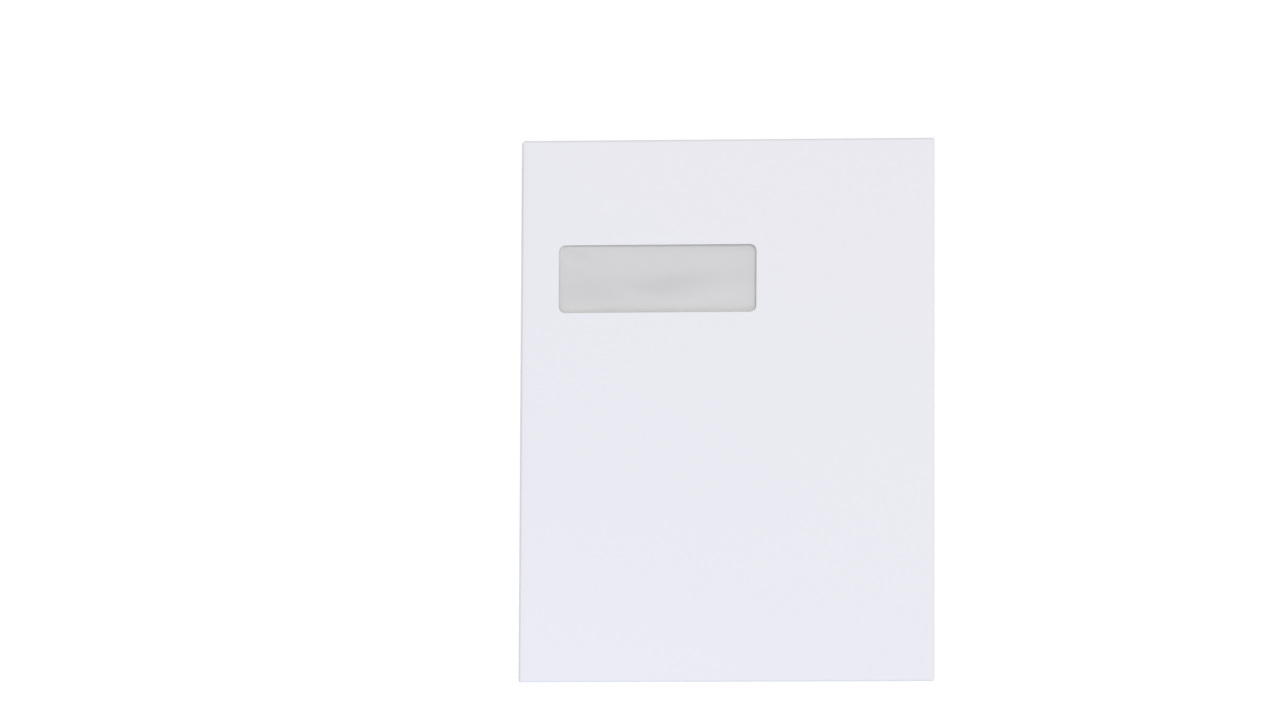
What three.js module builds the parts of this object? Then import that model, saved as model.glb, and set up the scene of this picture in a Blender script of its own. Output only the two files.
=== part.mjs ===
// Window pocket envelope, made from one die-cut sheet of paper that is folded and glued.
// Millimetres, +Z up. It lies on its back with the window side up and the top fold towards +Y.
// The closing flap is folded under the back panel and isn't sealed.
import * as THREE from 'three';

// Finished size, outside of fold to outside of fold
const width = 250;
const height = 330;
const paperThickness = 0.12;

// Window, measured from the left and top folds
const windowWidth = 120;
const windowHeight = 41.5;
const windowLeft = 22.5;
const windowTop = 64.5;
const windowRadius = 4;

// Film patch glued behind the window
const filmThickness = 0.04;
const filmLap = 7;
const filmGlue = 0.03;

// Closing flap, hinged on the front panel's top fold
const flapHeight = 39;
const flapSlant = 21;
const flapRadius = 2.5;

// Dried gum on the closing flap's inner face
const gumHeight = 18;
const gumThickness = 0.025;
const gumEdge = 3.5;

// Side seam flap, hinged on the left fold and glued outside the back panel
const seamFlapWidth = 22.5;
const seamFlapSlope = 3;
const seamFlapRadius = 6;

// Bottom flap, hinged on the bottom fold and glued outside the back panel and the seam flap
const bottomFlapHeight = 18.5;
const bottomFlapSlant = 12.5;
const bottomFlapRadius = 3;

// Back panel, hinged on the right fold, with a shallow V cut for the throat that rises at the fold
const backReach = 4;
const throatCentre = 10;
const throatEnds = 3.5;
const throatSoftness = 9;
const throatShoulder = 6;
const backFoot = 1.2;

// Room between the layers
const seamGlue = 0.04;
const pocketGap = 0.38;
const flapAir = 0.3;
const crownHeight = 1.4;
const cornerRelief = 0.8;

// How finely bends, corners and the crown are drawn
const bendSteps = 6;
const cornerSteps = 5;
const panelColumns = 9;
const panelRows = 11;
const throatSteps = 6;
const throatSpread = 18;
const linesApart = 6;
const samePlace = 1e-6;

// Heights of the layers' middle surfaces above the table, at the bottom fold
const flapLevel = paperThickness / 2;
const seamLevel = flapLevel + paperThickness + seamGlue;
const backLevel = seamLevel + paperThickness + seamGlue;
const frontLevel = backLevel + paperThickness + pocketGap;

// A fold through half a turn. Distances run outwards from the middle of the front panel,
// along the paper: start is where the bend begins, end is where it is complete.
function makeFold(reach, upperLevel, lowerLevel) {
  const radius = (upperLevel - lowerLevel) / 2;
  const start = reach - paperThickness / 2 - radius;
  return { radius, start, end: start + Math.PI * radius };
}

const rightFold = makeFold(width / 2, frontLevel, backLevel);
const leftFold = makeFold(width / 2, frontLevel, seamLevel);
const bottomFold = makeFold(height / 2, frontLevel, flapLevel);
const topFold = makeFold(height / 2, frontLevel + flapAir, flapLevel);

// Place on the flat blank of a point that lies under the front panel, at that distance from its middle
const under = (fold, distance) => fold.end + fold.start - distance;

// Follows the paper outwards through a fold
function follow(distance, fold) {
  const past = Math.max(0, distance - fold.start);
  const turn = Math.min(past / fold.radius, Math.PI);
  const beyond = Math.max(0, past - Math.PI * fold.radius);
  return {
    out: Math.min(distance, fold.start) + fold.radius * Math.sin(turn) - beyond,
    drop: fold.radius * (1 - Math.cos(turn)),
    turn,
  };
}

// Height that a point of the front panel stands above the flat, from the pocket's spring
function crown(across, along) {
  const room = (1 - across * across) * (1 - along * along);
  return Math.abs(across) < 1 && Math.abs(along) < 1 ? crownHeight * room : 0;
}

// Takes a point of the flat blank to its place on the folded envelope, with its outward direction
function foldedPlace([u, v]) {
  const sideFold = u > 0 ? rightFold : leftFold;
  const endFold = v > 0 ? topFold : bottomFold;
  const side = follow(Math.abs(u), sideFold);
  const end = follow(Math.abs(v), endFold);
  const rise = THREE.MathUtils.clamp((v + bottomFold.start) / (topFold.start + bottomFold.start), 0, 1);
  const bulge = crown(u / sideFold.start, v / endFold.start);
  return {
    place: new THREE.Vector3(
      Math.sign(u) * side.out,
      Math.sign(v) * end.out,
      frontLevel + flapAir * rise + bulge - side.drop - end.drop,
    ),
    outward: new THREE.Vector3(
      Math.sign(u) * Math.sin(side.turn),
      Math.sign(v) * Math.sin(end.turn),
      Math.cos(side.turn) * Math.cos(end.turn),
    ),
  };
}

// Equal steps between two values, both ends included
function evenly(from, to, steps) {
  return Array.from({ length: steps + 1 }, (_, k) => from + ((to - from) * k) / steps);
}

// Outlines on the flat blank: convex pieces, each a ring of points counter-clockwise

function rectangle(left, bottom, right, top) {
  return [[left, bottom], [right, bottom], [right, top], [left, top]];
}

// Rounds the corners of a convex ring, with one radius for each corner
function roundCorners(ring, radii) {
  return ring.flatMap((corner, i) => {
    if (!radii[i]) return [corner];
    const point = new THREE.Vector2(...corner);
    const before = new THREE.Vector2(...ring[(i + ring.length - 1) % ring.length]).sub(point).normalize();
    const after = new THREE.Vector2(...ring[(i + 1) % ring.length]).sub(point).normalize();
    const half = Math.acos(before.dot(after)) / 2;
    const inwards = before.clone().add(after).normalize();
    const centre = inwards.multiplyScalar(radii[i] / Math.sin(half)).add(point);
    const from = before.clone().multiplyScalar(radii[i] / Math.tan(half)).add(point);
    return evenly(0, Math.PI - 2 * half, cornerSteps).map((angle) => (
      from.clone().rotateAround(centre, angle).toArray()
    ));
  });
}

const hole = {
  left: windowLeft - width / 2,
  right: windowLeft - width / 2 + windowWidth,
  top: height / 2 - windowTop,
  bottom: height / 2 - windowTop - windowHeight,
};

// The paper between a corner of the window's square outline and its rounded cut
function windowCorner(cornerU, cornerV, inwardU, inwardV) {
  const arc = evenly(0, Math.PI / 2, cornerSteps).map((angle) => [
    cornerU + inwardU * windowRadius * (1 - Math.sin(angle)),
    cornerV + inwardV * windowRadius * (1 - Math.cos(angle)),
  ]);
  return arc.slice(1).map((point, k) => {
    const triangle = [[cornerU, cornerV], arc[k], point];
    return inwardU * inwardV < 0 ? triangle.reverse() : triangle;
  });
}

function frontPanel() {
  const { left, right, top, bottom } = hole;
  return [
    rectangle(-leftFold.start, -bottomFold.start, left, topFold.start),
    rectangle(right, -bottomFold.start, rightFold.start, topFold.start),
    rectangle(left, -bottomFold.start, right, bottom),
    rectangle(left, top, right, topFold.start),
    ...windowCorner(left, bottom, 1, 1),
    ...windowCorner(right, bottom, -1, 1),
    ...windowCorner(left, top, 1, -1),
    ...windowCorner(right, top, -1, -1),
  ];
}

const flapEdge = under(topFold, height / 2 - flapHeight);

function closingFlap() {
  const ring = [
    [-leftFold.start, topFold.start],
    [rightFold.start, topFold.start],
    [rightFold.start - flapSlant, flapEdge],
    [-leftFold.start + flapSlant, flapEdge],
  ];
  return [roundCorners(ring, [0, 0, flapRadius, flapRadius])];
}

function bottomFlap() {
  const edge = -under(bottomFold, height / 2 - bottomFlapHeight);
  const ring = [
    [-leftFold.start + bottomFlapSlant, edge],
    [rightFold.start - bottomFlapSlant, edge],
    [rightFold.start, -bottomFold.start],
    [-leftFold.start, -bottomFold.start],
  ];
  return [roundCorners(ring, [bottomFlapRadius, bottomFlapRadius, 0, 0])];
}

const seamFlapTop = topFold.start - cornerRelief;
const seamFlapBottom = -bottomFold.start + cornerRelief;

function seamFlap() {
  const edge = -under(leftFold, width / 2 - seamFlapWidth);
  const ring = [
    [edge, seamFlapBottom + seamFlapSlope],
    [-leftFold.start, seamFlapBottom],
    [-leftFold.start, seamFlapTop],
    [edge, seamFlapTop - seamFlapSlope],
  ];
  return [roundCorners(ring, [seamFlapRadius, 0, 0, seamFlapRadius])];
}

// How far the throat's V lies below the top fold, at a distance from the envelope's middle
function throatDrop(distance) {
  const soften = (reach) => Math.hypot(reach, throatSoftness) - throatSoftness;
  return throatCentre - (throatCentre - throatEnds) * (soften(distance) / soften(width / 2));
}

const backBottom = -bottomFold.start + backFoot;
const backEdge = under(rightFold, backReach - width / 2);
const throatMiddle = under(rightFold, 0);
const throatColumns = [
  rightFold.start,
  under(rightFold, width / 2 - throatShoulder),
  ...evenly(-1, 1, throatSteps).map((side) => throatMiddle + throatSpread * side * Math.abs(side)),
  backEdge,
];

// The back panel's top edge at a place on the blank, with a shoulder that rises to the side fold
function throatHeight(u) {
  if (u === rightFold.start) return topFold.start - cornerRelief;
  return height / 2 - throatDrop(Math.abs(throatMiddle - u));
}

function backPanel() {
  return throatColumns.slice(1).map((right, k) => {
    const left = throatColumns[k];
    return [
      [left, backBottom],
      [right, backBottom],
      [right, throatHeight(right)],
      [left, throatHeight(left)],
    ];
  });
}

// Lines on the blank along which every piece is divided, so that neighbours share their points

const bendLines = (fold) => evenly(fold.start, fold.end, bendSteps);

function withGrid(needed, grid) {
  const clear = (line) => needed.every((other) => Math.abs(other - line) > linesApart);
  return [...needed, ...grid.filter(clear)];
}

const columns = withGrid(
  [
    ...bendLines(rightFold),
    ...bendLines(leftFold).map((line) => -line),
    ...throatColumns,
    hole.left,
    hole.left + windowRadius,
    hole.right - windowRadius,
    hole.right,
  ],
  evenly(-leftFold.start, rightFold.start, panelColumns),
);

const rows = withGrid(
  [
    ...bendLines(topFold),
    ...bendLines(bottomFold).map((line) => -line),
    seamFlapTop,
    seamFlapBottom,
    backBottom,
    hole.bottom,
    hole.bottom + windowRadius,
    hole.top - windowRadius,
    hole.top,
  ],
  evenly(-bottomFold.start, topFold.start, panelRows),
);

// Side of a line that a coordinate is on, or zero where it's on the line
const sideOf = (coordinate, value) => (Math.abs(coordinate - value) < samePlace ? 0 : coordinate - value);

// Divides convex pieces along the line where one coordinate has a value
function divide(pieces, axis, value) {
  return pieces.flatMap((ring) => {
    const low = [];
    const high = [];
    ring.forEach((point, i) => {
      const next = ring[(i + 1) % ring.length];
      const here = sideOf(point[axis], value);
      const there = sideOf(next[axis], value);
      if (here <= 0) low.push(point);
      if (here >= 0) high.push(point);
      if (here * there < 0) {
        const share = here / (here - there);
        const crossing = point.map((coordinate, k) => coordinate + (next[k] - coordinate) * share);
        crossing[axis] = value;
        low.push(crossing);
        high.push(crossing);
      }
    });
    return [low, high].filter((part) => part.length > 2);
  });
}

// Folds flat pieces into one closed layer between two distances from the paper's middle surface
function foldLayer(outlines, outerFace, innerFace) {
  let pieces = outlines;
  columns.forEach((line) => { pieces = divide(pieces, 0, line); });
  rows.forEach((line) => { pieces = divide(pieces, 1, line); });

  const blankPoints = [];
  const numbers = new Map();
  const numberOf = (point) => {
    const key = point.map((coordinate) => Math.round(coordinate / samePlace)).join();
    if (!numbers.has(key)) numbers.set(key, blankPoints.push(point) - 1);
    return numbers.get(key);
  };
  const triangles = pieces.flatMap((ring) => {
    const corners = ring.map(numberOf);
    return corners.slice(2).map((corner, k) => [corners[0], corners[k + 1], corner]);
  });

  // An edge that only one triangle uses is a cut edge of the layer, and gets a wall
  const edges = new Map();
  triangles.forEach((triangle) => triangle.forEach((from, k) => {
    const to = triangle[(k + 1) % 3];
    if (!edges.delete(`${to} ${from}`)) edges.set(`${from} ${to}`, [from, to]);
  }));

  const count = blankPoints.length;
  const faces = [
    ...triangles,
    ...triangles.map(([a, b, c]) => [c + count, b + count, a + count]),
    ...[...edges.values()].flatMap(([a, b]) => [[b, a, a + count], [b, a + count, b + count]]),
  ];
  const folded = blankPoints.map(foldedPlace);
  const face = (distance) => folded.flatMap(({ place, outward }) => (
    place.clone().addScaledVector(outward, distance).toArray()
  ));
  const geometry = new THREE.BufferGeometry();
  const positions = [...face(outerFace), ...face(innerFace)];
  geometry.setAttribute('position', new THREE.Float32BufferAttribute(positions, 3));
  geometry.setIndex(faces.flat());
  geometry.computeVertexNormals();
  return geometry;
}

function paperSheet() {
  const outlines = [...frontPanel(), ...backPanel(), ...seamFlap(), ...bottomFlap(), ...closingFlap()];
  return foldLayer(outlines, paperThickness / 2, -paperThickness / 2);
}

function windowFilm() {
  const face = -paperThickness / 2 - filmGlue;
  const patch = rectangle(
    hole.left - filmLap,
    hole.bottom - filmLap,
    hole.right + filmLap,
    hole.top + filmLap,
  );
  return foldLayer([patch], face, face - filmThickness);
}

function flapGum() {
  const slope = flapSlant / (flapEdge - topFold.start);
  const top = flapEdge - gumEdge;
  const bottom = top - gumHeight;
  const inset = (v) => slope * (v - topFold.start) + gumEdge;
  const strip = [
    [-leftFold.start + inset(bottom), bottom],
    [rightFold.start - inset(bottom), bottom],
    [rightFold.start - inset(top), top],
    [-leftFold.start + inset(top), top],
  ];
  return foldLayer([strip], -paperThickness / 2, -paperThickness / 2 - gumThickness);
}

const paper = new THREE.MeshStandardMaterial({ color: 0xebecf2, roughness: 0.75, metalness: 0 });
const film = new THREE.MeshStandardMaterial({
  color: 0xf3f3f3, roughness: 0.1, metalness: 0, transparent: true, opacity: 0.25,
});
const gum = new THREE.MeshStandardMaterial({ color: 0xeeede8, roughness: 0.3, metalness: 0 });

function makePiece(name, geometry, material) {
  const mesh = new THREE.Mesh(geometry, material);
  mesh.name = name;
  return mesh;
}

const envelope = new THREE.Group();
envelope.name = 'envelope';
envelope.add(
  makePiece('envelope_paper', paperSheet(), paper),
  makePiece('window_film', windowFilm(), film),
  makePiece('flap_gum', flapGum(), gum),
);

export default envelope;
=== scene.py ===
from math import acos, cos, hypot, pi, radians, sin, tan

import bmesh
import bpy
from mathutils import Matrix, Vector, noise


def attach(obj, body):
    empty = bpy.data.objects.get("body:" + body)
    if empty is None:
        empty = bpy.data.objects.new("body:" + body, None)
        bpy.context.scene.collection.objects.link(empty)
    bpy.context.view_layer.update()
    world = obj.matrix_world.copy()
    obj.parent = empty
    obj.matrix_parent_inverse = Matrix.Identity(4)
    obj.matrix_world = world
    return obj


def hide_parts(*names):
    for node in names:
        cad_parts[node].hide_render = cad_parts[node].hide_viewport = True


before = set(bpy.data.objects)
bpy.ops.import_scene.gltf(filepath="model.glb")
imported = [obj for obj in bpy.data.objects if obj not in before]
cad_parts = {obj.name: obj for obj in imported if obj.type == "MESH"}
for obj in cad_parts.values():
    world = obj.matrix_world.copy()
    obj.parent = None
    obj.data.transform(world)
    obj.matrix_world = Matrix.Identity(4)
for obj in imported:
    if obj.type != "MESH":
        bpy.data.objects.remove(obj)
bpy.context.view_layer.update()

mm = 0.001

# the finished envelope, millimetres: it lies on its back, top fold towards +Y
envelope = {
    "width": 250, "height": 330, "paper": 0.12,
    "window": (120, 41.5), "windowLeft": 22.5, "windowTop": 64.5, "windowRadius": 4,
    "flap": 39, "flapSlant": 21, "flapRadius": 2.5,
    "seamFlap": 22.5, "seamSlope": 3, "seamRadius": 6,
    "bottomFlap": 18.5, "bottomSlant": 12.5, "bottomRadius": 3,
    "backReach": 4, "backFoot": 1.2,
    "throatCentre": 10, "throatEnds": 3.5, "throatSoftness": 9, "throatShoulder": 6,
    "throatSteps": 4, "throatSpread": 3,
    "seamGlue": 0.04, "pocketGap": 0.38, "flapAir": 0.3, "crown": 1.4, "cornerRelief": 0.8,
    "bendSteps": 12, "cornerSteps": 10, "cell": 4.5,
}

# slow ripples of the thin paper, millimetres
ripple = {"depth": 0.07, "length": 62, "squash": 0.7, "seed": 3.1, "edgeFade": 14}


# the folds

def makeFold(reach, upper, lower):
    radius = (upper - lower) / 2
    start = reach - envelope["paper"] / 2 - radius
    return {"radius": radius, "start": start, "end": start + pi * radius}


flapLevel = envelope["paper"] / 2
seamLevel = flapLevel + envelope["paper"] + envelope["seamGlue"]
backLevel = seamLevel + envelope["paper"] + envelope["seamGlue"]
frontLevel = backLevel + envelope["paper"] + envelope["pocketGap"]
halfWidth, halfHeight = envelope["width"] / 2, envelope["height"] / 2

rightFold = makeFold(halfWidth, frontLevel, backLevel)
leftFold = makeFold(halfWidth, frontLevel, seamLevel)
bottomFold = makeFold(halfHeight, frontLevel, flapLevel)
topFold = makeFold(halfHeight, frontLevel + envelope["flapAir"], flapLevel)


def under(fold, distance):      # place on the flat blank of a point below the front panel
    return fold["end"] + fold["start"] - distance


def follow(distance, fold):     # walks outwards along the paper and round the bend
    past = max(0, distance - fold["start"])
    turn = min(past / fold["radius"], pi)
    beyond = max(0, past - pi * fold["radius"])
    out = min(distance, fold["start"]) + fold["radius"] * sin(turn) - beyond
    return out, fold["radius"] * (1 - cos(turn)), turn


def crown(across, along):
    if abs(across) >= 1 or abs(along) >= 1:
        return 0
    return envelope["crown"] * (1 - across * across) * (1 - along * along)


def paperRipple(u, v):          # fades out at the folds, where the crease holds the paper straight
    sideRoom = (rightFold if u > 0 else leftFold)["start"] - abs(u)
    endRoom = (topFold if v > 0 else bottomFold)["start"] - abs(v)
    fade = min(1, max(0, min(sideRoom, endRoom) / ripple["edgeFade"]))
    fade = fade * fade * (3 - 2 * fade)
    where = Vector((u / ripple["length"], v / ripple["length"] * ripple["squash"], ripple["seed"]))
    return ripple["depth"] * fade * noise.noise(where)


def foldedPlace(u, v):          # a point of the flat blank, folded: place and outward direction
    sideFold = rightFold if u > 0 else leftFold
    endFold = topFold if v > 0 else bottomFold
    sideOut, sideDrop, sideTurn = follow(abs(u), sideFold)
    endOut, endDrop, endTurn = follow(abs(v), endFold)
    rise = min(1, max(0, (v + bottomFold["start"]) / (topFold["start"] + bottomFold["start"])))
    height = frontLevel + envelope["flapAir"] * rise - sideDrop - endDrop
    height += crown(u / sideFold["start"], v / endFold["start"]) + paperRipple(u, v)
    signU, signV = (1 if u > 0 else -1), (1 if v > 0 else -1)
    place = Vector((signU * sideOut, signV * endOut, height))
    outward = Vector((signU * sin(sideTurn), signV * sin(endTurn), cos(sideTurn) * cos(endTurn)))
    return place, outward


# outlines on the flat blank, as convex rings of points

def rectangle(left, bottom, right, top):
    return [(left, bottom), (right, bottom), (right, top), (left, top)]


def roundCorners(ring, radii):
    out = []
    for i, corner in enumerate(ring):
        if not radii[i]:
            out.append(corner)
            continue
        point = Vector(corner)
        before = (Vector(ring[i - 1]) - point).normalized()
        after = (Vector(ring[(i + 1) % len(ring)]) - point).normalized()
        half = acos(before.dot(after)) / 2
        centre = point + (before + after).normalized() * (radii[i] / sin(half))
        arm = point + before * (radii[i] / tan(half)) - centre
        for k in range(envelope["cornerSteps"] + 1):
            angle = k / envelope["cornerSteps"] * (pi - 2 * half)
            out.append((centre.x + arm.x * cos(angle) - arm.y * sin(angle),
                        centre.y + arm.x * sin(angle) + arm.y * cos(angle)))
    return out


def windowEdges():
    left = envelope["windowLeft"] - halfWidth
    top = halfHeight - envelope["windowTop"]
    return left, top - envelope["window"][1], left + envelope["window"][0], top


def windowCorner(u, v, inU, inV):   # paper between the square corner and the rounded cut
    radius, steps = envelope["windowRadius"], envelope["cornerSteps"]
    turns = [k / steps * pi / 2 for k in range(steps + 1)]
    arc = [(u + inU * radius * (1 - sin(turn)), v + inV * radius * (1 - cos(turn))) for turn in turns]
    triangles = [[(u, v), arc[k], arc[k + 1]] for k in range(steps)]
    return [t if inU * inV > 0 else t[::-1] for t in triangles]


def frontPanel():
    left, bottom, right, top = windowEdges()
    start, end = -bottomFold["start"], topFold["start"]
    rings = [
        rectangle(-leftFold["start"], start, left, end),
        rectangle(right, start, rightFold["start"], end),
        rectangle(left, start, right, bottom),
        rectangle(left, top, right, end),
    ]
    for u, inU in ((left, 1), (right, -1)):
        rings += windowCorner(u, bottom, inU, 1) + windowCorner(u, top, inU, -1)
    return rings


def closingFlap():
    left, right, fold = -leftFold["start"], rightFold["start"], topFold["start"]
    edge = under(topFold, halfHeight - envelope["flap"])
    slant, radius = envelope["flapSlant"], envelope["flapRadius"]
    ring = [(left, fold), (right, fold), (right - slant, edge), (left + slant, edge)]
    return [roundCorners(ring, (0, 0, radius, radius))]


def bottomFlap():
    left, right, fold = -leftFold["start"], rightFold["start"], -bottomFold["start"]
    edge = -under(bottomFold, halfHeight - envelope["bottomFlap"])
    slant, radius = envelope["bottomSlant"], envelope["bottomRadius"]
    ring = [(left + slant, edge), (right - slant, edge), (right, fold), (left, fold)]
    return [roundCorners(ring, (radius, radius, 0, 0))]


seamTop = topFold["start"] - envelope["cornerRelief"]
seamBottom = -bottomFold["start"] + envelope["cornerRelief"]


def seamFlap():
    fold = -leftFold["start"]
    edge = -under(leftFold, halfWidth - envelope["seamFlap"])
    slope, radius = envelope["seamSlope"], envelope["seamRadius"]
    ring = [(edge, seamBottom + slope), (fold, seamBottom), (fold, seamTop), (edge, seamTop - slope)]
    return [roundCorners(ring, (radius, 0, 0, radius))]


backBottom = -bottomFold["start"] + envelope["backFoot"]
throatMiddle = under(rightFold, 0)


def softened(reach):            # a distance that starts off slowly, so the V has a soft middle
    return hypot(reach, envelope["throatSoftness"]) - envelope["throatSoftness"]


def throatHeight(u):            # the back panel's top edge: a shallow V, with a shoulder at the fold
    if u == rightFold["start"]:
        return seamTop
    climb = envelope["throatCentre"] - envelope["throatEnds"]
    drop = envelope["throatCentre"] - climb * (softened(abs(throatMiddle - u)) / softened(halfWidth))
    return halfHeight - drop


throatColumns = [rightFold["start"], under(rightFold, halfWidth - envelope["throatShoulder"])]
throatColumns += [throatMiddle + envelope["throatSpread"] * k * abs(k) ** 0.5
                  for k in range(-envelope["throatSteps"], envelope["throatSteps"] + 1)]
throatColumns += [under(rightFold, envelope["backReach"] - halfWidth)]


def backPanel():
    return [[(a, backBottom), (b, backBottom), (b, throatHeight(b)), (a, throatHeight(a))]
            for a, b in zip(throatColumns, throatColumns[1:])]


# from flat rings to a folded, thick sheet

onLine = 1e-4           # millimetres: a point this near a grid line lies on it
samePoint = 1e-3        # millimetres: points this near each other are one
sharpAngle = 38         # degrees: cut edges are crisp and bends smooth


def evenly(start, end, step):
    count = max(1, round(abs(end - start) / step))
    return [start + (end - start) * k / count for k in range(count + 1)]


def bendLines(fold):
    return [fold["start"] + (fold["end"] - fold["start"]) * k / envelope["bendSteps"]
            for k in range(envelope["bendSteps"] + 1)]


def gridLines(needed, start, end, step):
    extra = [x for x in evenly(start, end, step) if all(abs(x - y) > step / 3 for y in needed)]
    return sorted(needed + extra)


def foldSheet(name, rings, columns, rows, thickness, offset):
    sheet = bmesh.new()
    for ring in rings:
        sheet.faces.new([sheet.verts.new((u, v, 0)) for u, v in ring])
    for axis, lines in ((0, columns), (1, rows)):
        for line in lines:
            point, normal = Vector((0, 0, 0)), Vector((0, 0, 0))
            point[axis], normal[axis] = line, 1
            everything = sheet.verts[:] + sheet.edges[:] + sheet.faces[:]
            bmesh.ops.bisect_plane(sheet, geom=everything, dist=onLine, plane_co=point, plane_no=normal)
    bmesh.ops.remove_doubles(sheet, verts=sheet.verts[:], dist=samePoint)
    blank = sheet.loops.layers.uv.new("blank")
    for face in sheet.faces:
        face.smooth = True
        for loop in face.loops:
            loop[blank].uv = (loop.vert.co.x * mm, loop.vert.co.y * mm)
    for vert in sheet.verts:
        place, outward = foldedPlace(vert.co.x, vert.co.y)
        vert.co = (place + outward * offset(vert.co.x, vert.co.y)) * mm
    mesh = bpy.data.meshes.new(name)
    sheet.to_mesh(mesh)
    sheet.free()
    piece = bpy.data.objects.new(name, mesh)
    bpy.context.collection.objects.link(piece)
    thick = piece.modifiers.new("thickness", "SOLIDIFY")
    thick.thickness, thick.offset = thickness * mm, 0
    thick.use_quality_normals = True
    return piece


def setThickness(piece):            # turns the thickness modifier into mesh, with crisp cut edges
    depsgraph = bpy.context.evaluated_depsgraph_get()
    mesh = bpy.data.meshes.new_from_object(piece.evaluated_get(depsgraph))
    piece.modifiers.clear()
    piece.data = mesh
    mesh.shade_smooth()
    mesh.set_sharp_from_angle(angle=radians(sharpAngle))


# materials

def newMaterial(name, color, roughness):
    material = bpy.data.materials.new(name)
    material.use_nodes = True
    nodes, links = material.node_tree.nodes, material.node_tree.links
    shader = nodes["Principled BSDF"]
    shader.inputs["Base Color"].default_value = (*color, 1)
    shader.inputs["Roughness"].default_value = roughness
    return material, nodes, links, shader


def mathNode(nodes, links, operation, a, b=None, c=None):
    node = nodes.new("ShaderNodeMath")
    node.operation = operation
    for socket, value in zip(node.inputs, (a, b, c)):
        if value is None:
            continue
        if isinstance(value, (int, float)):
            socket.default_value = value
        else:
            links.new(value, socket)
    return node.outputs[0]


def noiseNode(nodes, links, where, scale, detail=3.0, roughness=0.55):
    node = nodes.new("ShaderNodeTexNoise")
    node.inputs["Scale"].default_value = scale
    node.inputs["Detail"].default_value = detail
    node.inputs["Roughness"].default_value = roughness
    links.new(where, node.inputs["Vector"])
    return node.outputs[0]


def mixColors(nodes, links, factor, a, b):
    node = nodes.new("ShaderNodeMix")
    node.data_type = "RGBA"
    for socket, value in ((node.inputs["Factor"], factor), (node.inputs["A"], a), (node.inputs["B"], b)):
        if isinstance(value, tuple):
            socket.default_value = (*value, 1)
        elif isinstance(value, (int, float)):
            socket.default_value = value
        else:
            links.new(value, socket)
    return node.outputs["Result"]


def bumpNode(nodes, links, height, distance, strength):
    node = nodes.new("ShaderNodeBump")
    node.inputs["Distance"].default_value = distance
    node.inputs["Strength"].default_value = strength
    links.new(height, node.inputs["Height"])
    return node


# the paper, with linear colours and metres

paperLook = {
    "white": (0.816, 0.807, 0.837), "cloud": (0.798, 0.789, 0.822), "cloudScale": 330,
    "fibreScale": 5200, "fibreDepth": 0.000012, "feltScale": 1500, "feltDepth": 0.00002, "relief": 0.6,
    "roughness": 0.72, "shine": 0.3,
    # painted shade along the folds: a darker colour, its reach, and its strength at the top, left and right
    # folds, standing in for the shade on the rounded fold edges
    "foldShadeColor": (0.62, 0.62, 0.63), "foldShadeReach": 0.0011,
    "foldShadeTop": 0.95, "foldShadeLeft": 0.8, "foldShadeRight": 0.3,
}
tintLook = {
    "ink": (0.460, 0.453, 0.424), "cover": 0.62,
    "lineGap": 0.00055, "lineAngles": (28, -34), "lineLevel": 0.35, "wander": 0.00022, "wanderScale": 900,
    "margin": 7.0, "flapStop": 16.0, "radius": 4.5,     # millimetres
}


def blankPlace(nodes, links):       # where a point of the paper was on the flat blank, in metres
    uv = nodes.new("ShaderNodeUVMap")
    uv.uv_map = "blank"
    flat = nodes.new("ShaderNodeSeparateXYZ")
    links.new(uv.outputs[0], flat.inputs[0])
    return flat.outputs[0], flat.outputs[1]


def paperBump(nodes, links, shader, where):
    fibre = noiseNode(nodes, links, where, paperLook["fibreScale"], 4)
    felt = noiseNode(nodes, links, where, paperLook["feltScale"], 3)
    coarse = bumpNode(nodes, links, felt, paperLook["feltDepth"], paperLook["relief"])
    fine = bumpNode(nodes, links, fibre, paperLook["fibreDepth"], paperLook["relief"])
    links.new(coarse.outputs[0], fine.inputs["Normal"])
    links.new(fine.outputs[0], shader.inputs["Normal"])


def paperColor(nodes, links, where):    # faint clouds, as in paper held to the light
    cloud = noiseNode(nodes, links, where, paperLook["cloudScale"], 5, 0.6)
    return mixColors(nodes, links, cloud, paperLook["white"], paperLook["cloud"])


def paintedFoldShade(nodes, links, coordinate, place):   # 1 on a fold line of the blank, 0 away from it: the mask of the painted fold shade
    gap = mathNode(nodes, links, "ABSOLUTE", mathNode(nodes, links, "SUBTRACT", coordinate, place * mm))
    share = mathNode(nodes, links, "DIVIDE", gap, paperLook["foldShadeReach"])
    line = mathNode(nodes, links, "SUBTRACT", 1.0, share)
    return mathNode(nodes, links, "MAXIMUM", line, 0.0)


def outsidePaper():             # painted shade: the paper's colour is darkened along the folds, standing in for the shade on the rounded fold edges
    material, nodes, links, shader = newMaterial("whiteWove", paperLook["white"], paperLook["roughness"])
    where = nodes.new("ShaderNodeTexCoord").outputs["Object"]
    u, v = blankPlace(nodes, links)
    paintedShade = mathNode(nodes, links, "MULTIPLY", paperLook["foldShadeTop"],
                    paintedFoldShade(nodes, links, v, topFold["start"] + topFold["radius"] / 2))
    for fold, side, depth in ((rightFold, 1, "foldShadeRight"), (leftFold, -1, "foldShadeLeft")):
        line = paintedFoldShade(nodes, links, u, side * (fold["start"] + fold["radius"]))
        line = mathNode(nodes, links, "MULTIPLY", line, paperLook[depth])
        paintedShade = mathNode(nodes, links, "MAXIMUM", paintedShade, line)
    color = mixColors(nodes, links, paintedShade, paperColor(nodes, links, where), paperLook["foldShadeColor"])
    links.new(color, shader.inputs["Base Color"])
    shader.inputs["Specular IOR Level"].default_value = paperLook["shine"]
    paperBump(nodes, links, shader, where)
    return material


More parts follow.
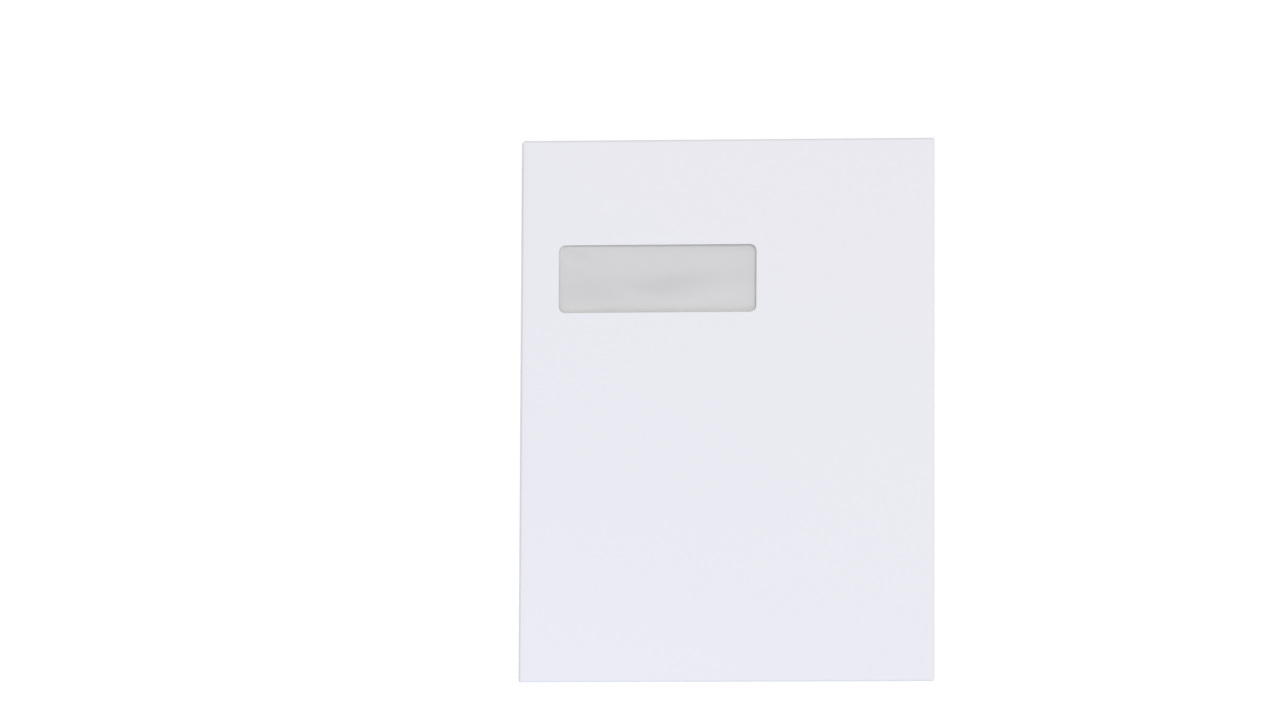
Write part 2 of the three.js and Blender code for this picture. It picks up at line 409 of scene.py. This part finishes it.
def insidePaper():              # fine grey lines printed inside, short of the folds and of the gum
    material, nodes, links, shader = newMaterial("tintedInside", paperLook["white"], paperLook["roughness"])
    where = nodes.new("ShaderNodeTexCoord").outputs["Object"]
    u, v = blankPlace(nodes, links)
    # printed up to the flap's stop line, with a bare margin at each side of the flap
    sideRoom = mathNode(nodes, links, "SUBTRACT", (halfWidth - tintLook["margin"]) * mm,
                        mathNode(nodes, links, "ABSOLUTE", u))
    sideRoom = mathNode(nodes, links, "MAXIMUM", sideRoom,
                        mathNode(nodes, links, "SUBTRACT", (halfHeight - envelope["throatCentre"]) * mm, v))
    endRoom = mathNode(nodes, links, "SUBTRACT", (halfHeight + tintLook["flapStop"]) * mm, v)
    room = mathNode(nodes, links, "SMOOTH_MIN", sideRoom, endRoom, tintLook["radius"] * mm)
    printed = mathNode(nodes, links, "GREATER_THAN", room, 0.0)
    wander = noiseNode(nodes, links, where, tintLook["wanderScale"], 1)
    ways = []
    for angle in tintLook["lineAngles"]:
        along = mathNode(nodes, links, "ADD",
                         mathNode(nodes, links, "MULTIPLY", u, cos(radians(angle))),
                         mathNode(nodes, links, "MULTIPLY", v, sin(radians(angle))))
        along = mathNode(nodes, links, "MULTIPLY_ADD", wander, tintLook["wander"], along)
        phase = mathNode(nodes, links, "MULTIPLY", along, 2 * pi / tintLook["lineGap"])
        ways.append(mathNode(nodes, links, "SINE", phase))
    lines = mathNode(nodes, links, "MAXIMUM", *ways)
    lines = mathNode(nodes, links, "GREATER_THAN", lines, tintLook["lineLevel"])
    amount = mathNode(nodes, links, "MULTIPLY", lines, printed)
    amount = mathNode(nodes, links, "MULTIPLY", amount, tintLook["cover"])
    color = mixColors(nodes, links, amount, paperColor(nodes, links, where), tintLook["ink"])
    links.new(color, shader.inputs["Base Color"])
    shader.inputs["Specular IOR Level"].default_value = paperLook["shine"]
    paperBump(nodes, links, shader, where)
    return material


def makePaper():
    left, bottom, right, top = windowEdges()
    radius = envelope["windowRadius"]
    columns = gridLines(
        bendLines(rightFold) + [-x for x in bendLines(leftFold)] + throatColumns
        + [left, left + radius, right - radius, right],
        -leftFold["start"], rightFold["start"], envelope["cell"])
    rows = gridLines(
        bendLines(topFold) + [-x for x in bendLines(bottomFold)]
        + [seamTop, seamBottom, backBottom]
        + [bottom, bottom + radius, top - radius, top],
        -bottomFold["start"], topFold["start"], envelope["cell"])
    rings = frontPanel() + backPanel() + seamFlap() + bottomFlap() + closingFlap()
    piece = foldSheet("foldedPaper", rings, columns, rows, envelope["paper"], lambda u, v: 0)
    piece.data.materials.append(outsidePaper())
    piece.data.materials.append(insidePaper())
    piece.modifiers["thickness"].material_offset = 1    # the inner face takes the second material
    setThickness(piece)
    return piece


# the film: sizes in millimetres, looks with linear colours and metres

film = {
    "thickness": 0.04, "lap": 7, "glue": 0.03, "cell": 2.0, "edge": 1.2, "edgeFade": 4.8,
    "slack": 0.04, "ripple": 0.05, "rippleLength": 34, "rippleStretch": (0.45, 1.7), "seed": 8.4,
    # the second colour is the darker tone that the random haze and the painted wave shade mix towards
    "clear": (0.92, 0.915, 0.88), "hazeAndPaintedShade": (0.34, 0.34, 0.34), "alpha": 0.13, "roughness": 0.09,
    "stretch": (0.35, 1.6, 1), "haze": 0.26, "hazeScale": 60, "wander": 0.012,
    "bumpScale": 160, "bumpDepth": 0.00004, "bump": 0.4,
}
# painted shade of the slack film's soft waves, in metres and degrees: darker bands painted into the film's
# colour, standing in for the light on its ripples; a shade below 0 is a painted lighter place
paintedFilmShades = (
    {"middle": (-0.050, 0.0765), "angle": 3.5, "reach": 0.065, "width": 0.0062, "shade": 0.17},
    {"middle": (-0.036, 0.0764), "angle": 11.0, "reach": 0.021, "width": 0.0030, "shade": 0.155},
    {"middle": (-0.094, 0.0960), "angle": -26.0, "reach": 0.009, "width": 0.0016, "shade": 0.22},
    {"middle": (-0.086, 0.0745), "angle": -20.0, "reach": 0.020, "width": 0.0070, "shade": 0.10},
    {"middle": (-0.012, 0.0655), "angle": 4.0, "reach": 0.030, "width": 0.0065, "shade": -0.10},
)


def bellCurve(nodes, links, distance):      # 1 in the middle, fading to 0 past a distance of 1
    squared = mathNode(nodes, links, "MULTIPLY", distance, distance)
    return mathNode(nodes, links, "EXPONENT", mathNode(nodes, links, "MULTIPLY", squared, -1.0))


# one painted band of shade, or of light where its shade is below 0
def paintedWaveShade(nodes, links, flat, drift, wave):
    turn = radians(wave["angle"])
    x = mathNode(nodes, links, "SUBTRACT", flat.outputs[0], wave["middle"][0])
    y = mathNode(nodes, links, "SUBTRACT", flat.outputs[1], wave["middle"][1])
    along = mathNode(nodes, links, "MULTIPLY", y, sin(turn))
    along = mathNode(nodes, links, "MULTIPLY_ADD", x, cos(turn), along)
    along = mathNode(nodes, links, "DIVIDE", along, wave["reach"])
    across = mathNode(nodes, links, "MULTIPLY", x, -sin(turn))
    across = mathNode(nodes, links, "MULTIPLY_ADD", y, cos(turn), across)
    across = mathNode(nodes, links, "ADD", across, drift)
    across = mathNode(nodes, links, "DIVIDE", across, wave["width"])
    strength = mathNode(nodes, links, "MULTIPLY",
                        bellCurve(nodes, links, along), bellCurve(nodes, links, across))
    return mathNode(nodes, links, "MULTIPLY", strength, wave["shade"])


def clearFilm():                # thin and slack, with a random haze and the painted shade of soft waves across it
    material, nodes, links, shader = newMaterial("clearFilm", film["clear"], film["roughness"])
    where = nodes.new("ShaderNodeTexCoord").outputs["Object"]
    flat = nodes.new("ShaderNodeSeparateXYZ")
    links.new(where, flat.inputs[0])
    stretch = nodes.new("ShaderNodeMapping")
    stretch.inputs["Scale"].default_value = film["stretch"]
    links.new(where, stretch.inputs["Vector"])
    haze = noiseNode(nodes, links, stretch.outputs[0], film["hazeScale"], 3, 0.5)
    drift = mathNode(nodes, links, "SUBTRACT", haze, 0.5)
    drift = mathNode(nodes, links, "MULTIPLY", drift, film["wander"])
    shade = mathNode(nodes, links, "MULTIPLY", haze, film["haze"])
    # painted shade and light of the film's waves, added to the random haze
    for wave in paintedFilmShades:
        shade = mathNode(nodes, links, "ADD", shade, paintedWaveShade(nodes, links, flat, drift, wave))
    color = mixColors(nodes, links, shade, film["clear"], film["hazeAndPaintedShade"])
    links.new(color, shader.inputs["Base Color"])
    shader.inputs["Alpha"].default_value = film["alpha"]
    height = noiseNode(nodes, links, stretch.outputs[0], film["bumpScale"], 2)
    bump = bumpNode(nodes, links, height, film["bumpDepth"], film["bump"])
    links.new(bump.outputs[0], shader.inputs["Normal"])
    return material


def makeFilm():
    left, bottom, right, top = windowEdges()
    lap = film["lap"]
    level = -envelope["paper"] / 2 - film["glue"] - film["thickness"] / 2

    def sag(u, v):              # the film hangs a little slack inside the cut-out
        room = min(u - left, right - u, v - bottom, top - v)
        fade = min(1, max(0, room / film["edgeFade"]))
        length, stretch = film["rippleLength"], film["rippleStretch"]
        wave = noise.noise(Vector((u / length * stretch[0], v / length * stretch[1], film["seed"])))
        return level - fade * (film["slack"] + film["ripple"] * wave)

    columns = gridLines([left, left + film["edge"], right - film["edge"], right],
                        left - lap, right + lap, film["cell"])
    rows = gridLines([bottom, bottom + film["edge"], top - film["edge"], top],
                     bottom - lap, top + lap, film["cell"])
    patch = rectangle(left - lap, bottom - lap, right + lap, top + lap)
    piece = foldSheet("filmPatch", [patch], columns, rows, film["thickness"], sag)
    piece.data.materials.append(clearFilm())
    setThickness(piece)
    return piece


# the gum: sizes in millimetres, looks with linear colours and metres

gum = {
    "height": 18, "thickness": 0.025, "edge": 3.5, "radius": 2, "cell": 3.0,
    "color": (0.80, 0.79, 0.74), "dry": (0.74, 0.73, 0.68), "dryScale": 140, "roughness": 0.28,
    "bumpScale": 420, "bumpDepth": 0.00006, "bump": 0.5,
}


def driedGum():
    material, nodes, links, shader = newMaterial("driedGum", gum["color"], gum["roughness"])
    where = nodes.new("ShaderNodeTexCoord").outputs["Object"]
    patches = noiseNode(nodes, links, where, gum["dryScale"], 4, 0.6)
    color = mixColors(nodes, links, patches, gum["color"], gum["dry"])
    links.new(color, shader.inputs["Base Color"])
    height = noiseNode(nodes, links, where, gum["bumpScale"], 3)
    bump = bumpNode(nodes, links, height, gum["bumpDepth"], gum["bump"])
    links.new(bump.outputs[0], shader.inputs["Normal"])
    return material


def makeGum():
    left, right = -leftFold["start"], rightFold["start"]
    edge = under(topFold, halfHeight - envelope["flap"])
    slope = envelope["flapSlant"] / (edge - topFold["start"])
    top = edge - gum["edge"]
    bottom = top - gum["height"]
    insetBottom, insetTop = [slope * (v - topFold["start"]) + gum["edge"] for v in (bottom, top)]
    ring = [(left + insetBottom, bottom), (right - insetBottom, bottom), (right - insetTop, top),
            (left + insetTop, top)]
    strip = roundCorners(ring, [gum["radius"]] * 4)
    level = -envelope["paper"] / 2 - gum["thickness"] / 2
    columns = evenly(left, right, gum["cell"])
    rows = evenly(bottom, top, gum["cell"])
    piece = foldSheet("driedGumStrip", [strip], columns, rows, gum["thickness"], lambda u, v: level)
    piece.data.materials.append(driedGum())
    setThickness(piece)
    return piece


def placePieces():
    pieces = (
        (makePaper(), "envelope_paper", "paper"),
        (makeFilm(), "window_film", "film"),
        (makeGum(), "flap_gum", "gum"),
    )
    for piece, node, slot in pieces:
        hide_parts(node)
        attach(piece, "root")


# the studio

studio = {
    "world": 0.62,
    "floorSize": 16.0, "floorColor": 0.88, "floorRoughness": 0.9, "floorLift": 0.16, "floorDrop": 0.00002,
    "key": {"place": (9.3, 8.5, 11.9), "size": 3.8, "power": 1430.0, "color": (1.0, 1.0, 0.99)},
    "fill": {"place": (-0.75, -1.55, 0.75), "size": 0.5, "power": 10.0, "color": (0.58, 0.70, 1.0)},
}
camera = {
    "place": (0.3335, -0.6631, 4.8176), "turn": (8.190, 4.541, -0.356),
    "lens": 227.05, "sensor": 36.0, "clipEnd": 100,
}


def seenRays(nodes, links):     # camera, glossy and transmission rays see the lifted floor
    path = nodes.new("ShaderNodeLightPath")
    total = mathNode(nodes, links, "ADD", path.outputs["Is Camera Ray"], path.outputs["Is Glossy Ray"])
    total = mathNode(nodes, links, "ADD", total, path.outputs["Is Transmission Ray"])
    return mathNode(nodes, links, "MINIMUM", total, 1.0)


def makeFloor():
    half = studio["floorSize"] / 2
    mesh = bpy.data.meshes.new("floor")
    corners = [(-half, -half, 0), (half, -half, 0), (half, half, 0), (-half, half, 0)]
    mesh.from_pydata(corners, [], [(0, 1, 2, 3)])
    floor = bpy.data.objects.new("floor", mesh)
    bpy.context.collection.objects.link(floor)
    floor.location.z = -studio["floorDrop"]
    grey = (studio["floorColor"],) * 3
    material, nodes, links, shader = newMaterial("studioFloor", grey, studio["floorRoughness"])
    shader.inputs["Specular IOR Level"].default_value = 0.0
    shader.inputs["Emission Color"].default_value = (1, 1, 1, 1)
    lift = mathNode(nodes, links, "MULTIPLY", seenRays(nodes, links), studio["floorLift"])
    links.new(lift, shader.inputs["Emission Strength"])
    mesh.materials.append(material)


def makeWorld():
    world = bpy.data.worlds.new("studio")
    bpy.context.scene.world = world
    world.use_nodes = True
    nodes, links = world.node_tree.nodes, world.node_tree.links
    sky = nodes["Background"]
    sky.inputs["Color"].default_value = (1, 1, 1, 1)
    seen = seenRays(nodes, links)
    strength = mathNode(nodes, links, "MULTIPLY_ADD", seen, 1 - studio["world"], studio["world"])
    links.new(strength, sky.inputs["Strength"])


def makeLamp(name):
    look = studio[name]
    data = bpy.data.lights.new(name, "AREA")
    data.size, data.energy, data.color = look["size"], look["power"], look["color"]
    lamp = bpy.data.objects.new(name, data)
    bpy.context.collection.objects.link(lamp)
    lamp.location = look["place"]
    lamp.rotation_euler = (-Vector(look["place"])).to_track_quat("-Z", "Y").to_euler()


def makeCamera():
    data = bpy.data.cameras.new("camera")
    data.lens, data.sensor_width = camera["lens"], camera["sensor"]
    data.clip_end = camera["clipEnd"]
    eye = bpy.data.objects.new("camera", data)
    bpy.context.collection.objects.link(eye)
    eye.location = camera["place"]
    eye.rotation_mode = "ZYX"
    eye.rotation_euler = [radians(x) for x in camera["turn"]]
    bpy.context.scene.camera = eye


bpy.context.scene.view_settings.view_transform = "Standard"
makeCamera()
makeFloor()
makeWorld()
makeLamp("key")
makeLamp("fill")
print("studio ready")
placePieces()
print("envelope folded")
